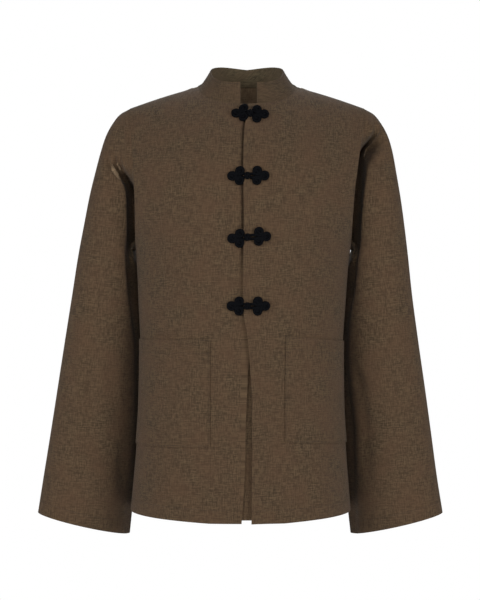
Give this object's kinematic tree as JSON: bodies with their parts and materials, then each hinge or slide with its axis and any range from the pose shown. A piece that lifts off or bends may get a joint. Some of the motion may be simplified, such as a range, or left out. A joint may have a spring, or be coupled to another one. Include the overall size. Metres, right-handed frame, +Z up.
{
  "type": "mao jacket",
  "caption": "Hip-length linen jacket with a stand collar, straight set-in sleeves, large patch pockets and cord frogs down the front, filled out as if worn.",
  "frame": {"origin": "middle of the neck's base, where the wearer's neck and shoulders carry the jacket", "axes": "+Z up along the body, +Y towards the wearer's back, +X towards the wearer's left"},
  "size_m": [0.6548, 0.271, 0.7595],
  "materials": {
    "linen": "plain-weave linen, matte, slubby, brown",
    "cord": "near-black rolled cloth cord, matte"
  },
  "bodies": {
    "root": {"back": "linen", "front_left": "linen", "front_right": "linen", "under_placket": "linen", "collar": "linen", "sleeve_left": "linen", "sleeve_right": "linen", "pocket_left": "linen", "pocket_right": "linen", "frog_1_left": "cord", "frog_1_right": "cord", "frog_1_knot": "cord", "frog_2_left": "cord", "frog_2_right": "cord", "frog_2_knot": "cord", "frog_3_left": "cord", "frog_3_right": "cord", "frog_3_knot": "cord", "frog_4_left": "cord", "frog_4_right": "cord", "frog_4_knot": "cord"}
  },
  "joints": []
}
